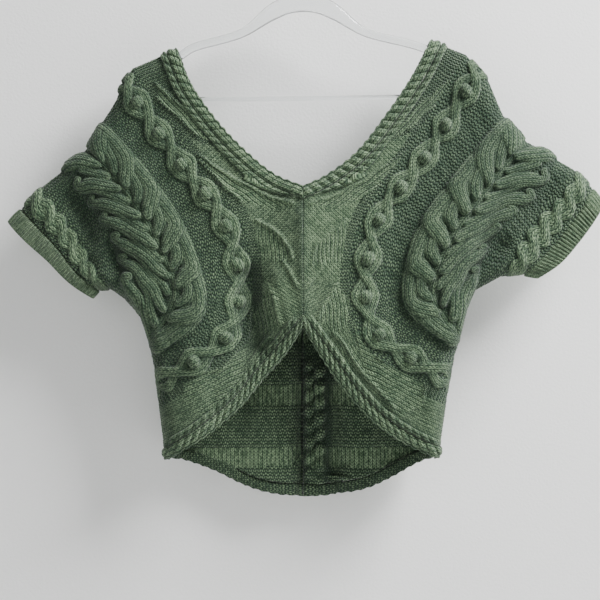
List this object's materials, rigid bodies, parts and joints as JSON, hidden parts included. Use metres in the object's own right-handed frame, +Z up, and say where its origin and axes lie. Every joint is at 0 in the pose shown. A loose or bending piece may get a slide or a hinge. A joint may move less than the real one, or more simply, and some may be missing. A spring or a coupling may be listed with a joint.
{
  "type": "cropped cable-knit sweater on a clear hanger",
  "caption": "Cropped cable-knit sweater with deep V necks front and back and short dolman sleeves, hung on a clear moulded hanger with a steel hook.",
  "frame": {"origin": "inside top of the hanger's hook, where a rail bears it", "axes": "+X to the right of someone who faces the sweater's front, +Y towards its back, +Z up"},
  "size_m": [0.785, 0.0933, 0.7386],
  "materials": {
    "wool": "chunky heathered wool knit, matt and slightly fuzzy",
    "clear_plastic": "clear moulded plastic, glossy",
    "steel_wire": "dull steel wire"
  },
  "bodies": {
    "root": {"front_left": "wool", "front_right": "wool", "back_left": "wool", "back_right": "wool", "cuff_left": "wool", "cuff_right": "wool", "neck_band_front_left": "wool", "neck_band_front_right": "wool", "neck_band_back_left": "wool", "neck_band_back_right": "wool", "hem_band_front_left": "wool", "hem_band_front_right": "wool", "hem_band_back_left": "wool", "hem_band_back_right": "wool", "hanger": "clear_plastic", "hook": "steel_wire"}
  },
  "joints": []
}
